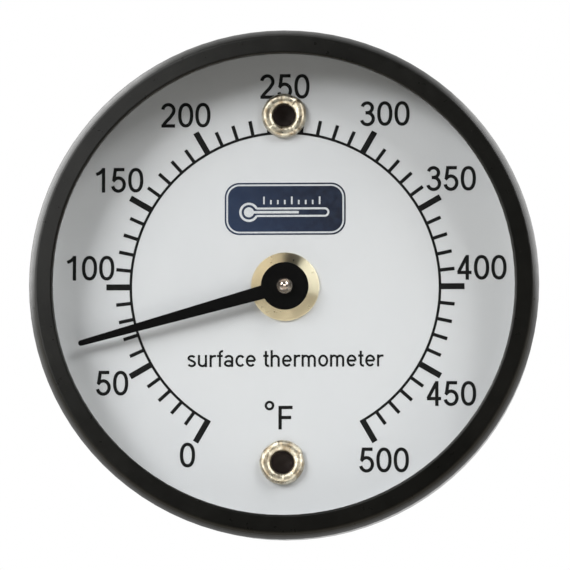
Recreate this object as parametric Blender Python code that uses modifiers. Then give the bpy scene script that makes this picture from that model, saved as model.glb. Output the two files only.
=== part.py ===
"""Magnetic surface thermometer with a 2 in dial and a flat spiral bimetal movement.

Local frame: x to the right, y to 12 o'clock, z out of the dial. z = 0 is the plane of the
magnets' faces, where the thermometer sits on a hot steel wall. The root empty turns local z
to world -Y, so the dial faces -Y and 12 o'clock is +Z. All lengths below are in millimetres.
"""
import math

import bmesh
import bpy

MM = 0.001
COLLECTION = "dial_thermometer"
FINE = 96        # facets of the big rings
MEDIUM = 48      # facets of the magnets and the bushing
SMALL = 32       # facets of pins, rivets and holes
MERGE = 1e-6     # metres, joins a turned shape's first and last profiles
FIT = 0.03       # gap between pieces that are pressed or clamped together

# bezel
BEZEL_R = 26.2           # 2 1/16 in across
LIP_R = 23.7             # inner edge of the lip, limit of the visible dial
BEZEL_Z = 10.8           # front of the ring
BEZEL_SKIRT_Z = 2.82     # rear edge of the ring
CROWN_FALL = 0.13        # the front falls away a little from lip to shoulder
SHOULDER_R = 0.55        # bend between the front and the sloped rim
SLOPE_R = 2.37           # the rim is slightly convex
SLOPE_DEG = (42.0, 66.0)  # its tilt where it starts and ends
EDGE_R = 0.15            # last rounding, where it meets the side
SIDE_DRAFT = 0.12
LIP_ROUND = 0.25         # rounding of the lip's edge
HOOK_R = 25.38           # rolled-in edge that grips the case
# case
CASE_R = 25.68           # under the bezel
NECK_R = 25.3            # groove the bezel is rolled into
SKIRT_R = 25.9           # rear skirt
CAVITY_R = 24.5          # front space
RECESS_R = 24.7          # rear recess
CASE_RIM_Z = 8.6
SHOULDER_Z = 3.55        # front wall of the groove
NECK_Z = 2.72            # rear wall of the groove
CASE_REAR_Z = 0.5
WEB_REAR_Z = 4.6
WEB_FRONT_Z = 5.6
# window
LENS_R = 25.4
LENS_REAR_Z = 9.0
LENS_T = 1.0
GASKET_IN_R = 24.2
GASKET_OUT_R = 25.5
# dial
DIAL_R = 24.3
DIAL_REAR_Z = 5.65
DIAL_T = 0.5
DIAL_FRONT_Z = DIAL_REAR_Z + DIAL_T
# bushing and nut
FLANGE_R = 3.53
FLANGE_T = 0.6
FLANGE_FALL = 0.38         # its face falls away to a thin edge
SHANK_R = 2.0
SHANK_REAR_Z = 3.82
BORE_R = 0.79
NUT_FLATS = 5.9          # across flats
NUT_T = 0.62
# arbor and what rides on it
ARBOR_R = 0.75
ARBOR_REAR_Z = 1.15
ARBOR_HEAD_R = 0.88
ARBOR_HEAD_Z = 8.08      # crest of the peened end
DIMPLE_R = 0.42          # hollow that the peening tool leaves in it
DIMPLE_DEPTH = 0.13
HUB_R = 1.5
HUB_REAR_Z = 6.86
HUB_T = 0.32
POINTER_T = 0.24
POINTER_DISC_R = 2.46
POINTER_LENGTH = 22.1
POINTER_ROOT_W = 1.4
POINTER_TIP_W = 0.58
POINTER_DEG = 195.5      # reads about 74 on the scale
COLLET_R = 1.9
COLLET_REAR_Z = 1.35
COLLET_FRONT_Z = 3.7
# bimetal coil: 5 turns of 0.3 x 2.6 strip
COIL_TURNS = 5
COIL_T = 0.3
COIL_IN_R = COLLET_R + FIT + COIL_T / 2
COIL_OUT_R = 9.5
COIL_REAR_Z = 1.0
COIL_W = 2.6
COIL_STEPS = 40          # per turn
ANCHOR_DEG = 20.0        # where the outer end is held
# coil anchor
ANCHOR_T = 0.4
ANCHOR_W = 3.0
ANCHOR_IN_R = COIL_OUT_R + COIL_T / 2 + 0.04
FOOT_LENGTH = 3.3
ANCHOR_RIVET_R = 0.6
ANCHOR_HEAD_R = 1.1
ANCHOR_HEAD_T = 0.4
# magnets
UPPER_SPOT = (-0.11, 17.73)
LOWER_SPOT = (-0.28, -18.14)
CUP_R = 5.6
CUP_WALL = 0.55
CUP_FLOOR = 0.8
MAGNET_HOLE_R = 2.75
# rivets: solid head behind, hollow end rolled over on the dial
RIVET_SHANK_R = 1.5
RIVET_HEAD_R = 2.4
RIVET_HEAD_T = 0.7
RIVET_HOLE_R = 1.14
RIVET_HOLE_Z = 4.4
ROLL_R = 2.29
ROLL_T = 0.76
HOLE_GAP = 0.05          # holes are wider than their rivets by this
SPOTS = {"upper": UPPER_SPOT, "lower": LOWER_SPOT}


def clear():
    for item in list(bpy.data.objects):
        bpy.data.objects.remove(item, do_unlink=True)


def new_collection(name):
    group = bpy.data.collections.new(name)
    bpy.context.scene.collection.children.link(group)
    return group


def material(name, colour, roughness, metallic=0.0, alpha=1.0):
    mat = bpy.data.materials.new(name)
    mat.use_nodes = True
    shader = mat.node_tree.nodes["Principled BSDF"]
    shader.inputs["Base Color"].default_value = (*colour, 1.0)
    shader.inputs["Roughness"].default_value = roughness
    shader.inputs["Metallic"].default_value = metallic
    shader.inputs["Alpha"].default_value = alpha
    mat.diffuse_color = (*colour, alpha)
    return mat


def place(obj, mat, at=(0, 0, 0), turn_deg=0.0, parent=None):
    """Puts an object in the assembly's frame, at a point in millimetres."""
    obj.location = [c * MM for c in at]
    obj.rotation_euler = (0, 0, math.radians(turn_deg))
    obj.parent = parent or root
    obj.data.materials.append(mat)
    parts.objects.link(obj)
    return obj


def arc(centre, radius, start_deg, end_deg, steps):
    """Points of an arc, from start to end, both included."""
    turns = [start_deg + (end_deg - start_deg) * k / steps for k in range(steps + 1)]
    return [
        (centre[0] + radius * math.cos(math.radians(a)), centre[1] + radius * math.sin(math.radians(a)))
        for a in turns
    ]


def ring(radius, steps, centre=(0, 0)):
    """Points of a full circle."""
    return arc(centre, radius, 0, 360 * (steps - 1) / steps, steps - 1)


def turned(name, profile, steps, closed):
    """A shape turned about z from (radius, z) points that run down its outer side."""
    mesh = bpy.data.meshes.new(name)
    count = len(profile)
    edges = [(k, k + 1) for k in range(count - 1)]
    if closed:
        edges.append((count - 1, 0))
    mesh.from_pydata([(r * MM, 0, z * MM) for r, z in profile], edges, [])
    obj = bpy.data.objects.new(name, mesh)
    screw = obj.modifiers.new("Screw", "SCREW")
    screw.axis = "Z"
    screw.steps = steps
    screw.render_steps = steps
    screw.use_merge_vertices = True
    screw.merge_threshold = MERGE
    screw.use_smooth_shade = True
    return obj


def plate(name, outlines, rear_z, front_z):
    """A flat piece cut to its outlines, the first the outside and the rest its holes."""
    curve = bpy.data.curves.new(name, "CURVE")
    curve.dimensions = "2D"
    curve.fill_mode = "BOTH"
    curve.extrude = (front_z - rear_z) / 2 * MM
    for outline in outlines:
        spline = curve.splines.new("POLY")
        spline.points.add(len(outline) - 1)
        for point, (x, y) in zip(spline.points, outline):
            point.co = (x * MM, y * MM, 0, 1)
        spline.use_cyclic_u = True
    return bpy.data.objects.new(name, curve)


def block(name, low, high):
    """A rectangular block between two corners."""
    mesh = bpy.data.meshes.new(name)
    bm = bmesh.new()
    bmesh.ops.create_cube(bm, size=1.0)
    for vert in bm.verts:
        for axis in range(3):
            middle = (low[axis] + high[axis]) / 2
            vert.co[axis] = (middle + vert.co[axis] * (high[axis] - low[axis])) * MM
    bm.to_mesh(mesh)
    bm.free()
    return bpy.data.objects.new(name, mesh)


def cutter(name, shape, parent, at=(0, 0, 0), turn_deg=0.0):
    """Turns a shape into a hidden boolean tool."""
    shape.name = name
    shape.location = [c * MM for c in at]
    shape.rotation_euler = (0, 0, math.radians(turn_deg))
    shape.parent = parent
    shape.hide_render = True
    shape.display_type = "WIRE"
    tools.objects.link(shape)
    return shape


def rod(name, radius, low_z, high_z, steps=SMALL):
    """A plain round bar along z."""
    return turned(name, [(0, high_z), (radius, high_z), (radius, low_z), (0, low_z)], steps, False)


def combine(obj, tool, operation):
    step = obj.modifiers.new(tool.name, "BOOLEAN")
    step.operation = operation
    step.solver = "EXACT"
    step.object = tool


def chained(curves, end_r):
    """Curves laid end to end, from z = 0 downwards, so that the last one ends at a radius."""
    line = [(0.0, 0.0)]
    for curve in curves:
        shift_r = line[-1][0] - curve[0][0]
        shift_z = line[-1][1] - curve[0][1]
        line += [(r + shift_r, z + shift_z) for r, z in curve[1:]]
    return [(r + end_r - line[-1][0], z) for r, z in line]


def bezel_profile():
    top = BEZEL_Z
    under_lip = LENS_REAR_Z + LENS_T + FIT + 0.02
    inner_r = CASE_R + FIT
    lip = arc((LIP_R + LIP_ROUND, top - LIP_ROUND), LIP_ROUND, 180, 90, 3)
    start, end = SLOPE_DEG
    edge = arc((0, 0), EDGE_R, 90 - end, 0, 2)
    slope = arc((0, 0), SLOPE_R, 90 - start, 90 - end, 4)
    bend = arc((0, 0), SHOULDER_R, 90, 90 - start, 4)
    rim = chained([bend, slope, edge], BEZEL_R)
    shoulder = [(r, top - CROWN_FALL + z) for r, z in rim]
    flat = [(LIP_R + LIP_ROUND + 0.1, top - 0.01), (shoulder[0][0] - 0.1, top - CROWN_FALL + 0.01)]
    tail = [(BEZEL_R - SIDE_DRAFT, 3.5), (BEZEL_R - 0.2, BEZEL_SKIRT_Z + 0.1)]
    tail.append((BEZEL_R - 0.3, BEZEL_SKIRT_Z))
    hook = [(HOOK_R, BEZEL_SKIRT_Z), (HOOK_R, SHOULDER_Z - 0.07), (inner_r, SHOULDER_Z - 0.05)]
    return lip + flat + shoulder + tail + hook + [(inner_r, under_lip), (LIP_R, under_lip)]


def case_profile():
    front = [(CASE_R - 0.1, CASE_RIM_Z), (CASE_R, CASE_RIM_Z - 0.1), (CASE_R, SHOULDER_Z)]
    groove = [(NECK_R, SHOULDER_Z), (NECK_R, NECK_Z), (SKIRT_R - 0.12, NECK_Z), (SKIRT_R, NECK_Z - 0.12)]
    rear = [(SKIRT_R, CASE_REAR_Z + 0.3), (SKIRT_R - 0.3, CASE_REAR_Z)]
    recess = [(RECESS_R + 0.2, CASE_REAR_Z), (RECESS_R, CASE_REAR_Z + 0.2)]
    corner = [(RECESS_R, WEB_REAR_Z - 0.35), (RECESS_R - 0.35, WEB_REAR_Z)]
    bore_r = SHANK_R + HOLE_GAP
    web = [(bore_r, WEB_REAR_Z), (bore_r, WEB_FRONT_Z), (CAVITY_R, WEB_FRONT_Z)]
    return front + groove + rear + recess + corner + web + [(CAVITY_R, CASE_RIM_Z)]


def bushing_profile():
    rear = DIAL_FRONT_Z + FIT
    front = rear + FLANGE_T
    flange = [(1.05, front), (FLANGE_R - 0.05, front - FLANGE_FALL), (FLANGE_R, front - FLANGE_FALL - 0.05)]
    flange += [(FLANGE_R, rear + 0.05), (FLANGE_R - 0.05, rear)]
    shank = [(SHANK_R, rear), (SHANK_R, SHANK_REAR_Z + 0.15), (SHANK_R - 0.15, SHANK_REAR_Z)]
    return flange + shank + [(BORE_R, SHANK_REAR_Z), (BORE_R, front - 0.2)]


def arbor_profile():
    neck_z = HUB_REAR_Z + HUB_T + FIT + POINTER_T + FIT
    side_z = neck_z + 0.12
    dimple = []
    for share in (0, 1 / 3, 2 / 3):
        sink = DIMPLE_DEPTH * (1 + math.cos(math.pi * share)) / 2
        dimple.append((DIMPLE_R * share, ARBOR_HEAD_Z - sink))
    wide = ARBOR_HEAD_R - DIMPLE_R
    high = ARBOR_HEAD_Z - side_z
    dome = [(DIMPLE_R + wide * x, side_z + high * y) for x, y in arc((0, 0), 1, 90, 0, 6)]
    shaft = [(ARBOR_HEAD_R, neck_z), (ARBOR_R, neck_z), (ARBOR_R, ARBOR_REAR_Z + 0.15)]
    return dimple + dome + shaft + [(ARBOR_R - 0.15, ARBOR_REAR_Z), (0, ARBOR_REAR_Z)]


def collar_profile(bore_r, outer_r, rear_z, front_z, chamfer):
    outside = [(outer_r - chamfer, front_z), (outer_r, front_z - chamfer)]
    outside += [(outer_r, rear_z + chamfer), (outer_r - chamfer, rear_z)]
    return [(bore_r, front_z)] + outside + [(bore_r, rear_z)]


def cup_profile():
    """Steel pot: its floor lies on the web, its mouth is on the wall."""
    top = WEB_REAR_Z - FIT
    bore_r = RIVET_SHANK_R + HOLE_GAP
    outside = [(CUP_R - 0.5, top), (CUP_R, top - 0.5), (CUP_R, 0.08), (CUP_R - 0.08, 0)]
    inside = [(CUP_R - CUP_WALL, 0), (CUP_R - CUP_WALL, top - CUP_FLOOR), (bore_r, top - CUP_FLOOR)]
    return outside + inside + [(bore_r, top)]


def magnet_profile():
    top = WEB_REAR_Z - FIT - CUP_FLOOR - FIT
    return collar_profile(MAGNET_HOLE_R, CUP_R - CUP_WALL - FIT, 0, top, 0.1)


def rivet_profile():
    """Rolled end in front, semi-tubular shank, button head on the pot's floor."""
    seat = DIAL_FRONT_Z + FIT
    top = seat + ROLL_T
    half = (ROLL_R - RIVET_HOLE_R) / 2
    middle = (ROLL_R + RIVET_HOLE_R) / 2
    crown = arc((0, 0), 1, 180, 0, 8)
    spring_z = seat + 0.2
    roll = [(middle + half * x, spring_z + (top - spring_z) * y) for x, y in crown]
    under = [(ROLL_R - 0.12, seat), (RIVET_SHANK_R, seat)]
    head_top = WEB_REAR_Z - FIT - CUP_FLOOR - FIT
    shank = [(RIVET_SHANK_R, head_top), (RIVET_HEAD_R - 0.1, head_top), (RIVET_HEAD_R, head_top - 0.1)]
    button = [(RIVET_HEAD_R, head_top - 0.3), (RIVET_HEAD_R - 0.5, head_top - RIVET_HEAD_T + 0.08)]
    base = [(RIVET_HEAD_R - 1.1, head_top - RIVET_HEAD_T), (0, head_top - RIVET_HEAD_T)]
    floor = [(0, RIVET_HOLE_Z - 0.3), (RIVET_HOLE_R, RIVET_HOLE_Z)]
    return floor + roll + under + shank + button + base


def anchor_rivet_profile():
    head_top = WEB_REAR_Z - FIT - ANCHOR_T - FIT
    rear = head_top - ANCHOR_HEAD_T
    end = WEB_FRONT_Z - 0.02
    shank = [(0, end), (ANCHOR_RIVET_R - 0.08, end), (ANCHOR_RIVET_R, end - 0.08)]
    shank += [(ANCHOR_RIVET_R, head_top), (ANCHOR_HEAD_R, head_top)]
    return shank + [(ANCHOR_HEAD_R, head_top - 0.15), (ANCHOR_HEAD_R - 0.35, rear), (0, rear)]


def pointer_outline():
    """A round hub with a straight tapered blade along +x that ends in a round tip."""
    meet = math.degrees(math.asin(POINTER_ROOT_W / 2 / POINTER_DISC_R))
    tip_r = POINTER_TIP_W / 2
    hub = arc((0, 0), POINTER_DISC_R, meet, 360 - meet, 40)
    tip = arc((POINTER_LENGTH - tip_r, 0), tip_r, -90, 90, 8)
    return hub + tip


def spiral_point(turns, offset):
    """A point on the coil's middle line, moved out by an offset."""
    radius = COIL_IN_R + (COIL_OUT_R - COIL_IN_R) * turns / COIL_TURNS + offset
    angle = math.radians(ANCHOR_DEG + 360 * (turns - COIL_TURNS))
    return (radius * math.cos(angle), radius * math.sin(angle))


def coil_outline():
    stations = [k / COIL_STEPS for k in range(COIL_TURNS * COIL_STEPS + 1)]
    outer = [spiral_point(t, COIL_T / 2) for t in stations]
    inner = [spiral_point(t, -COIL_T / 2) for t in reversed(stations)]
    return outer + inner


def hexagon(across_flats):
    corner_r = across_flats / 2 / math.cos(math.radians(30))
    return ring(corner_r, 6)


def add_case(mat):
    case = place(turned("case", case_profile(), FINE, True), mat)
    for label, spot in SPOTS.items():
        hole = rod("rivet_hole", RIVET_SHANK_R + HOLE_GAP, WEB_REAR_Z - 1, WEB_FRONT_Z + 1)
        combine(case, cutter(f"case_hole_{label}", hole, root, (*spot, 0)), "DIFFERENCE")
    hole = rod("anchor_hole", ANCHOR_RIVET_R + HOLE_GAP, WEB_REAR_Z - 1, WEB_FRONT_Z + 1)
    spot = anchor_rivet_spot()
    combine(case, cutter("case_hole_anchor", hole, root, (*spot, 0)), "DIFFERENCE")


def anchor_rivet_spot():
    radius = ANCHOR_IN_R + FOOT_LENGTH * 0.62
    angle = math.radians(ANCHOR_DEG)
    return (radius * math.cos(angle), radius * math.sin(angle))


def add_anchor(mat):
    """L bracket: a foot on the web and a tab down beside the coil's outer end."""
    top = WEB_REAR_Z - FIT
    inner = ANCHOR_IN_R
    half = ANCHOR_W / 2
    foot = block("coil_anchor", (inner, -half, top - ANCHOR_T), (inner + FOOT_LENGTH, half, top))
    place(foot, mat, turn_deg=ANCHOR_DEG)
    tab = block("tab", (inner, -half + 0.2, COIL_REAR_Z), (inner + ANCHOR_T, half - 0.2, top - 0.1))
    combine(foot, cutter("anchor_tab", tab, root, turn_deg=ANCHOR_DEG), "UNION")
    hole = rod("foot_hole", ANCHOR_RIVET_R + HOLE_GAP, top - ANCHOR_T - 1, top + 1)
    combine(foot, cutter("anchor_hole", hole, root, (*anchor_rivet_spot(), 0)), "DIFFERENCE")


def add_dial(mat):
    holes = [ring(SHANK_R + HOLE_GAP, SMALL)]
    for spot in SPOTS.values():
        holes.append(ring(RIVET_SHANK_R + HOLE_GAP, SMALL, spot))
    shape = plate("dial_plate", [ring(DIAL_R, FINE)] + holes, 0, DIAL_T)
    place(shape, mat, (0, 0, DIAL_REAR_Z + DIAL_T / 2))


def add_magnets(steel, ferrite, nickel):
    for label, spot in SPOTS.items():
        place(turned(f"magnet_cup_{label}", cup_profile(), MEDIUM, True), steel[label], (*spot, 0))
        place(turned(f"magnet_{label}", magnet_profile(), MEDIUM, True), ferrite[label], (*spot, 0))
        place(turned(f"rivet_{label}", rivet_profile(), SMALL, False), nickel[label], (*spot, 0))


def add_movement():
    brass = (0.66, 0.53, 0.30)
    steel = (0.55, 0.55, 0.56)
    shape = turned("bushing", bushing_profile(), MEDIUM, True)
    place(shape, material("bushing_brass", (0.74, 0.66, 0.48), 0.28, 1.0))
    nut_top = WEB_REAR_Z - FIT
    outlines = [hexagon(NUT_FLATS), ring(SHANK_R + FIT, SMALL)]
    shape = plate("bushing_nut", outlines, 0, NUT_T)
    place(shape, material("nut_brass", brass, 0.35, 1.0), (0, 0, nut_top - NUT_T / 2))
    shape = turned("arbor", arbor_profile(), SMALL, False)
    place(shape, material("arbor_steel", (0.50, 0.46, 0.41), 0.3, 1.0), parent=spindle)
    bore = ARBOR_R + 0.02
    hub_z = HUB_REAR_Z
    shape = turned("pointer_hub", collar_profile(bore, HUB_R, hub_z, hub_z + HUB_T, 0.06), SMALL, True)
    place(shape, material("hub_brass", brass, 0.35, 1.0), parent=spindle)
    outlines = [pointer_outline(), ring(bore, SMALL)]
    shape = plate("pointer", outlines, 0, POINTER_T)
    middle = HUB_REAR_Z + HUB_T + FIT + POINTER_T / 2
    black = material("pointer_black", (0.012, 0.012, 0.013), 0.5)
    place(shape, black, (0, 0, middle), POINTER_DEG, spindle)
    collet = collar_profile(bore, COLLET_R, COLLET_REAR_Z, COLLET_FRONT_Z, 0.1)
    shape = turned("coil_collet", collet, SMALL, True)
    place(shape, material("collet_brass", brass, 0.4, 1.0), parent=spindle)
    shape = plate("bimetal_coil", [coil_outline()], 0, COIL_W)
    place(shape, material("bimetal", (0.62, 0.52, 0.42), 0.35, 1.0), (0, 0, COIL_REAR_Z + COIL_W / 2))
    add_anchor(material("anchor_steel", steel, 0.4, 1.0))
    shape = turned("anchor_rivet", anchor_rivet_profile(), SMALL, False)
    place(shape, material("anchor_rivet_steel", steel, 0.35, 1.0), (*anchor_rivet_spot(), 0))


def pair(name, colour, roughness, metallic):
    """One material for each of a pair of like pieces."""
    return {side: material(f"{name}_{side}", colour, roughness, metallic) for side in SPOTS}


clear()
parts = new_collection(COLLECTION)
tools = new_collection("construction")
root = bpy.data.objects.new("frame", None)
root.rotation_euler = (math.radians(90), 0, 0)
parts.objects.link(root)
spindle = bpy.data.objects.new("spindle_axis", None)
spindle.parent = root
parts.objects.link(spindle)

add_case(material("case_black", (0.018, 0.018, 0.016), 0.5, 0.0))
ring_black = material("bezel_black", (0.016, 0.016, 0.013), 0.42, 0.0)
place(turned("bezel", bezel_profile(), FINE, True), ring_black)
lens_z = (LENS_REAR_Z, LENS_REAR_Z + LENS_T)
lens_outline = [(0, lens_z[1]), (LENS_R - 0.1, lens_z[1]), (LENS_R, lens_z[1] - 0.1)]
lens_outline += [(LENS_R, lens_z[0] + 0.1), (LENS_R - 0.1, lens_z[0]), (0, lens_z[0])]
window = material("clear_glass", (0.9, 0.95, 0.94), 0.03, 0.0, 0.25)
place(turned("lens", lens_outline, FINE, False), window)
gasket = collar_profile(GASKET_IN_R, GASKET_OUT_R, CASE_RIM_Z + FIT, LENS_REAR_Z - FIT, 0.05)
place(turned("lens_gasket", gasket, FINE, True), material("gasket_rubber", (0.03, 0.03, 0.03), 0.8))
add_dial(material("dial_white", (0.72, 0.76, 0.80), 0.45, 0.0))
add_magnets(
    pair("magnet_cup_steel", (0.60, 0.60, 0.60), 0.32, 1.0),
    pair("magnet_ferrite", (0.07, 0.07, 0.075), 0.6, 0.0),
    pair("rivet_nickel", (0.58, 0.55, 0.48), 0.3, 1.0),
)
add_movement()
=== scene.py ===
"""Looks of the magnetic surface thermometer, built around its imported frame.

Face coordinates are used throughout: x to the right, y to 12 o'clock and z out of the dial, in
millimetres, with z = 0 on the plane of the magnets' faces. place() turns them into the row frame,
where the dial faces -Y and 12 o'clock is +Z.
"""

import math
import random

import bpy
from mathutils import Matrix, Vector
from mathutils.geometry import delaunay_2d_cdt


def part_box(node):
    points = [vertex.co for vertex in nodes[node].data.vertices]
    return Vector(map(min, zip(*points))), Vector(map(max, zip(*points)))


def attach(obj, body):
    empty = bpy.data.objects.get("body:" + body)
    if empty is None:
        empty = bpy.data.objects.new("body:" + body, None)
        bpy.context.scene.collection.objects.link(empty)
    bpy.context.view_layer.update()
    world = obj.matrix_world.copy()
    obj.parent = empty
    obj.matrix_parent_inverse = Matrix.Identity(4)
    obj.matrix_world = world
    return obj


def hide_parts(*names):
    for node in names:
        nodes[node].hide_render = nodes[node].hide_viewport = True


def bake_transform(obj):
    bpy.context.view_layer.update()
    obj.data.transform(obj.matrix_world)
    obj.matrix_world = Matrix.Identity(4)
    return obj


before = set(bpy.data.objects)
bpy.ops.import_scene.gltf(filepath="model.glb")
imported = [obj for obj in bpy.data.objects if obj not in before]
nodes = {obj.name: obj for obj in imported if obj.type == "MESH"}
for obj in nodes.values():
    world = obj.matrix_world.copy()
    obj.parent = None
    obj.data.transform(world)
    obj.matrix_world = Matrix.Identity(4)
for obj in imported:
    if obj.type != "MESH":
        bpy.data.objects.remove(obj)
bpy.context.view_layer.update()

MM = 0.001


def face_low(node):
    """The node's lowest z in face coordinates, in mm."""
    return -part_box(node)[1].y / MM


def face_high(node):
    """The node's highest z in face coordinates, in mm."""
    return -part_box(node)[0].y / MM


def place(x, y, z):
    """A point in face coordinates, in the row frame."""
    return Vector((x * MM, -z * MM, y * MM))


DIAL_Z = face_high("dial_plate")
INK_T = 0.012              # thickness of a printed layer
INK_GAP = 0.002            # between a print and the dial
SIGN_GAP = 0.001           # between a print and one laid over it

# ---------------------------------------------------------------- material helpers
NOISE_LOW = 0.3            # nearly all of a noise texture's values lie between these two
NOISE_HIGH = 0.7


def live(sockets):
    """The sockets that a node shows with its present settings."""
    return [s for s in sockets if s.enabled]


class Tree:
    """Short ways to add nodes to one material."""

    def __init__(self, name):
        self.mat = bpy.data.materials.new(name)
        self.mat.use_nodes = True
        self.nodes = self.mat.node_tree.nodes
        self.links = self.mat.node_tree.links
        self.shader = self.nodes["Principled BSDF"]
        self.coords = self.add("ShaderNodeTexCoord").outputs["Object"]

    def add(self, kind, **settings):
        node = self.nodes.new(kind)
        for key, value in settings.items():
            setattr(node, key, value)
        return node

    def join(self, source, target):
        self.links.new(source, target)

    def set(self, **values):
        for key, value in values.items():
            self.shader.inputs[key.replace("_", " ")].default_value = value

    def noise(self, scale, detail=3.0, rough=0.55, stretch=None):
        node = self.add("ShaderNodeTexNoise")
        node.inputs["Scale"].default_value = scale
        node.inputs["Detail"].default_value = detail
        node.inputs["Roughness"].default_value = rough
        vector = self.coords
        if stretch:
            mapping = self.add("ShaderNodeMapping")
            mapping.inputs["Scale"].default_value = stretch
            self.join(vector, mapping.inputs["Vector"])
            vector = mapping.outputs["Vector"]
        self.join(vector, node.inputs["Vector"])
        return node.outputs["Fac"]

    def math(self, operation, a, b=None, c=None):
        node = self.add("ShaderNodeMath", operation=operation)
        for slot, value in zip(node.inputs, (a, b, c)):
            if value is None:
                continue
            if isinstance(value, (int, float)):
                slot.default_value = value
            else:
                self.join(value, slot)
        return node.outputs[0]

    def remap(self, value, low, high, to_low, to_high):
        node = self.add("ShaderNodeMapRange", clamp=True)
        self.join(value, node.inputs["Value"])
        ends = {"From Min": low, "From Max": high, "To Min": to_low, "To Max": to_high}
        for key, number in ends.items():
            node.inputs[key].default_value = number
        return node.outputs["Result"]

    def mix(self, factor, a, b):
        node = self.add("ShaderNodeMix", data_type="RGBA")
        for key, value in (("Factor", factor), ("A", a), ("B", b)):
            socket = [s for s in live(node.inputs) if s.name == key][0]
            if isinstance(value, (int, float)):
                socket.default_value = value
            elif isinstance(value, tuple):
                socket.default_value = (*value, 1.0)
            else:
                self.join(value, socket)
        return live(node.outputs)[0]

    def fade(self, value, low, high, a, b):
        """Colour a where the value is low, turning to b where it is high."""
        return self.mix(self.remap(value, low, high, 0.0, 1.0), a, b)

    def colour(self, value):
        self.join(value, self.shader.inputs["Base Color"])

    def rough(self, value):
        self.join(value, self.shader.inputs["Roughness"])

    def uneven_rough(self, scale, low, high, detail=3.0):
        self.rough(self.remap(self.noise(scale, detail), NOISE_LOW, NOISE_HIGH, low, high))

    def metal(self, value):
        self.join(value, self.shader.inputs["Metallic"])

    def bump(self, height, depth_mm):
        """Adds relief to whatever normal the shader already has."""
        node = self.add("ShaderNodeBump")
        node.inputs["Distance"].default_value = depth_mm * MM
        self.join(height, node.inputs["Height"])
        previous = self.shader.inputs["Normal"]
        if previous.is_linked:
            self.join(previous.links[0].from_socket, node.inputs["Normal"])
        self.join(node.outputs["Normal"], previous)

    def split(self):
        node = self.add("ShaderNodeSeparateXYZ")
        self.join(self.coords, node.inputs[0])
        return node.outputs["X"], node.outputs["Y"], node.outputs["Z"]

    def radius(self):
        """Distance from the middle axis, that runs out of the dial, in mm."""
        x, _, z = self.split()
        square = self.math("ADD", self.math("MULTIPLY", x, x), self.math("MULTIPLY", z, z))
        return self.math("DIVIDE", self.math("SQRT", square), MM)

    def depth(self):
        """Height above the magnets' plane, in mm."""
        return self.math("DIVIDE", self.split()[1], -MM)

    def vector(self, operation, *values):
        node = self.add("ShaderNodeVectorMath", operation=operation)
        for slot, value in zip(live(node.inputs), values):
            if isinstance(value, (int, float)):
                slot.default_value = value
            else:
                self.join(value, slot)
        return live(node.outputs)[0]

    def smooth_round(self, beyond_mm):
        """Shades turned walls further out than this as round, though their facets are flat."""
        flat = self.add("ShaderNodeNewGeometry").outputs["Normal"]
        parts = self.add("ShaderNodeSeparateXYZ")
        self.join(flat, parts.inputs[0])
        x, _, z = self.split()
        spoke = self.add("ShaderNodeCombineXYZ")
        self.join(x, spoke.inputs["X"])
        self.join(z, spoke.inputs["Z"])
        outward = self.vector("NORMALIZE", spoke.outputs[0])
        side = self.math("SIGN", self.vector("DOT_PRODUCT", flat, outward))
        along = parts.outputs["Y"]
        rest = self.math("SUBTRACT", 1.0, self.math("MULTIPLY", along, along))
        length = self.math("SQRT", self.math("MAXIMUM", rest, 0.0))
        axial = self.add("ShaderNodeCombineXYZ")
        self.join(along, axial.inputs["Y"])
        sideways = self.vector("SCALE", outward, self.math("MULTIPLY", side, length))
        rounded = self.vector("ADD", sideways, axial.outputs[0])
        choice = self.add("ShaderNodeMix", data_type="VECTOR")
        outside = self.math("GREATER_THAN", self.radius(), beyond_mm)
        for source, slot in zip((outside, flat, rounded), live(choice.inputs)):
            self.join(source, slot)
        self.join(live(choice.outputs)[0], self.shader.inputs["Normal"])

    def grooves(self, pitch_mm, wander_mm):
        """Fine turned lines around the middle axis, that wander a little."""
        radius = self.math("ADD", self.radius(), self.math("MULTIPLY", self.noise(900.0), wander_mm))
        wave = self.math("SINE", self.math("MULTIPLY", radius, 2 * math.pi / pitch_mm))
        return self.math("MULTIPLY_ADD", wave, 0.5, 0.5)


def enamel(name, base, rough_low, rough_high, grain_mm, depth_mm, dust=0.0, round_beyond=0.0):
    """Stoved black paint with a fine skin, a few specks and slightly uneven gloss."""
    t = Tree(name)
    light = tuple(c * 1.7 for c in base)
    tone = t.fade(t.noise(160.0, 4.0), 0.35, 0.7, base, light)
    if dust:
        specks = t.remap(t.noise(5200.0, 1.0), 0.73, 0.78, 0.0, dust)
        tone = t.mix(specks, tone, (0.32, 0.31, 0.29))
    t.colour(tone)
    t.uneven_rough(900.0, rough_low, rough_high, 4.0)
    if round_beyond:
        t.smooth_round(round_beyond)
    t.bump(t.noise(1.0 / (grain_mm * MM), 2.0), depth_mm)
    t.set(Specular_IOR_Level=0.5)
    return t


def plated(name, base, stain, rough_low, rough_high, grain, depth_mm):
    """Plated or bright rolled metal with tarnish clouds and fine scratches."""
    t = Tree(name)
    t.colour(t.fade(t.noise(520.0, 5.0, 0.6), 0.4, 0.68, base, stain))
    t.uneven_rough(1500.0, rough_low, rough_high)
    t.bump(t.noise(grain, 3.0, 0.6), depth_mm)
    t.set(Metallic=1.0)
    return t


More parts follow.
